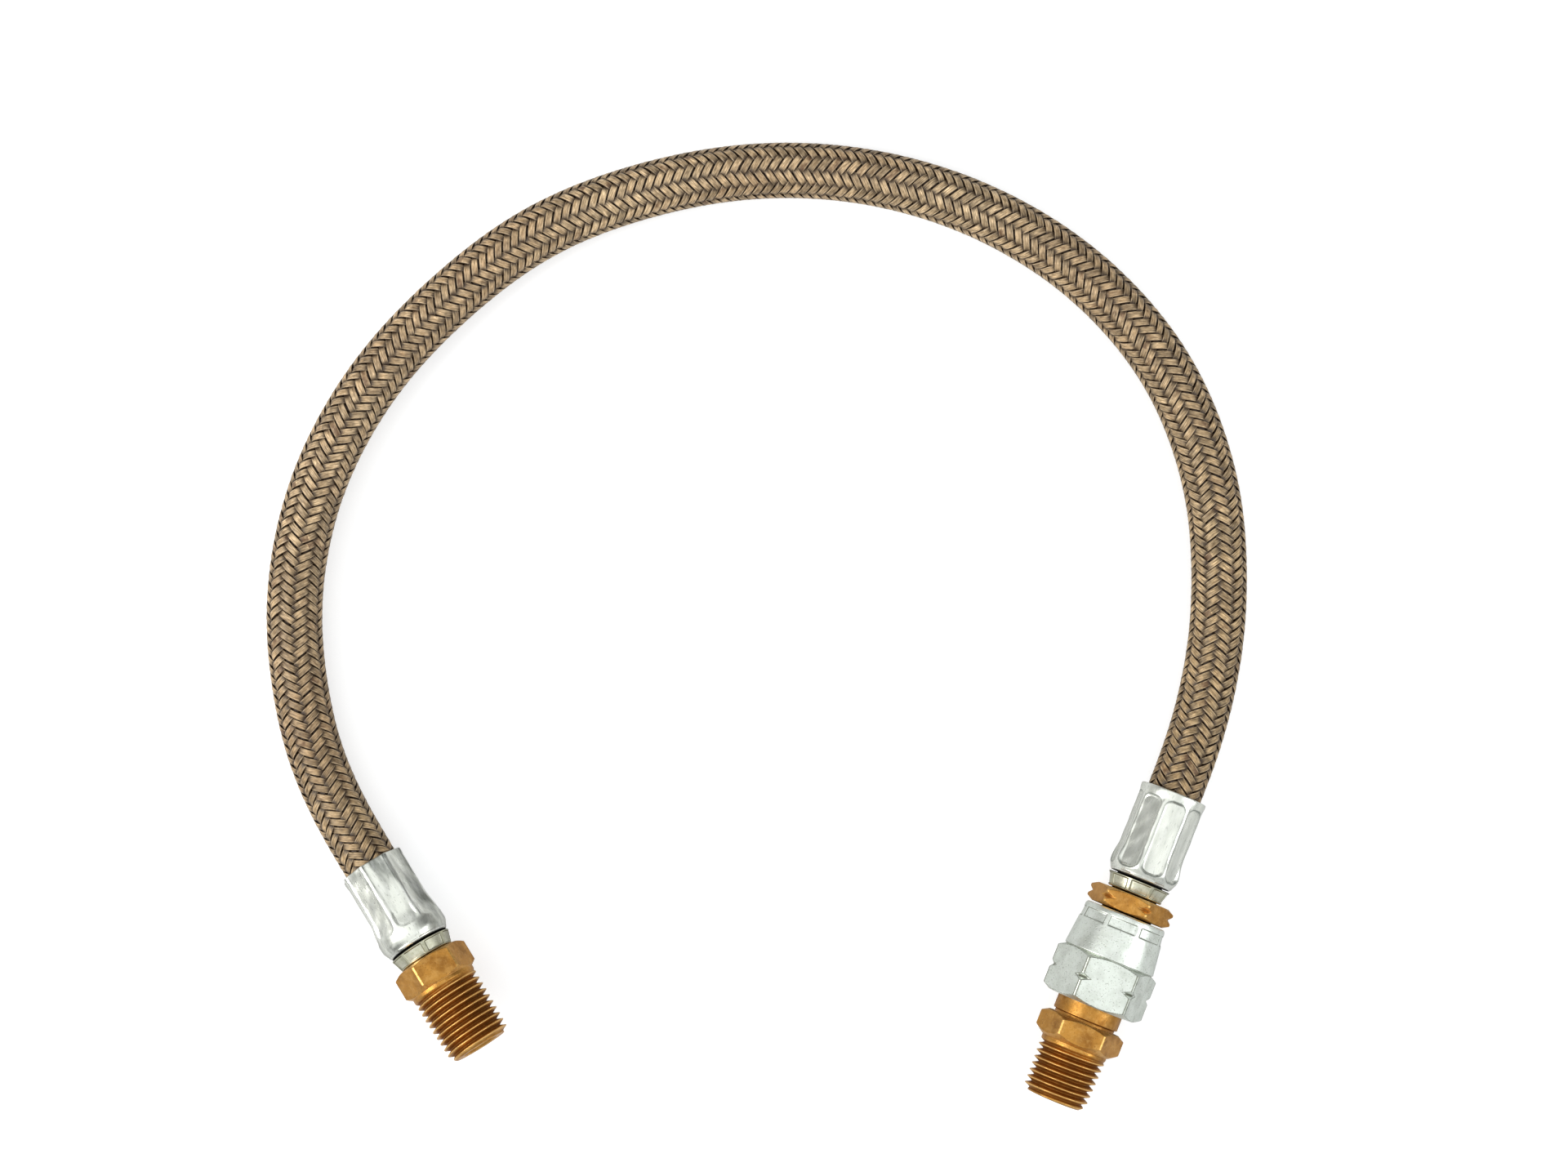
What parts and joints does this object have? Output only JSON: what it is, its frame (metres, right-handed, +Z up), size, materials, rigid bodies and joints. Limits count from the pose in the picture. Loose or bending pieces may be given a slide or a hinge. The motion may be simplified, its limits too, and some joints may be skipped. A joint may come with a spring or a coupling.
{
  "type": "propane regulator hose",
  "caption": "Braided quarter-inch gas hose with crimped ferrules, a rigid male pipe end and a swivel nut carrying a flare adapter.",
  "frame": {"origin": "on the table that the hose lies on, midway between the outermost edges of the two end fittings", "axes": "+Z up from the table; +Y from the opening of the loop towards its far side; +X from the rigid male end towards the swivel end"},
  "size_m": [0.2041, 0.2001, 0.0211],
  "materials": {
    "liner_rubber": "matt black rubber tube",
    "inner_braid": "pale grey textile braid",
    "cover_braid": "taupe brown braided filament cover with darker stains",
    "ferrule_zinc": "bright zinc plate, crimped",
    "ring_zinc": "dull zinc plate",
    "nut_zinc": "speckled pale blue-grey zinc plate",
    "brass": "machined brass, slightly tarnished"
  },
  "bodies": {
    "hose_assembly": {"hose_liner": "liner_rubber", "hose_reinforcement": "inner_braid", "hose_cover": "cover_braid", "male_ferrule": "ferrule_zinc", "male_locking_ring": "ring_zinc", "male_stem": "brass", "swivel_ferrule": "ferrule_zinc", "swivel_locking_ring": "ring_zinc", "swivel_stem": "brass"},
    "nut": {"swivel_nut": "nut_zinc"},
    "adapter": {"flare_adapter": "brass"}
  },
  "joints": [
    {"name": "adapter_travel", "type": "slide", "parent": "hose_assembly", "child": "adapter", "axis": [-0.377, -0.9236, 0.0691], "range_m": [0, 0.01058]},
    {"name": "nut_turn", "type": "hinge", "parent": "hose_assembly", "child": "nut", "pos_m": [0.06722, -0.00767, 0.01009], "axis": [0.377, 0.9236, -0.0691], "range_deg": [0, 2700]}
  ],
  "couplings": [
    {"joint": "nut_turn", "follows": "adapter_travel", "rad_per_m": 4452.7}
  ]
}
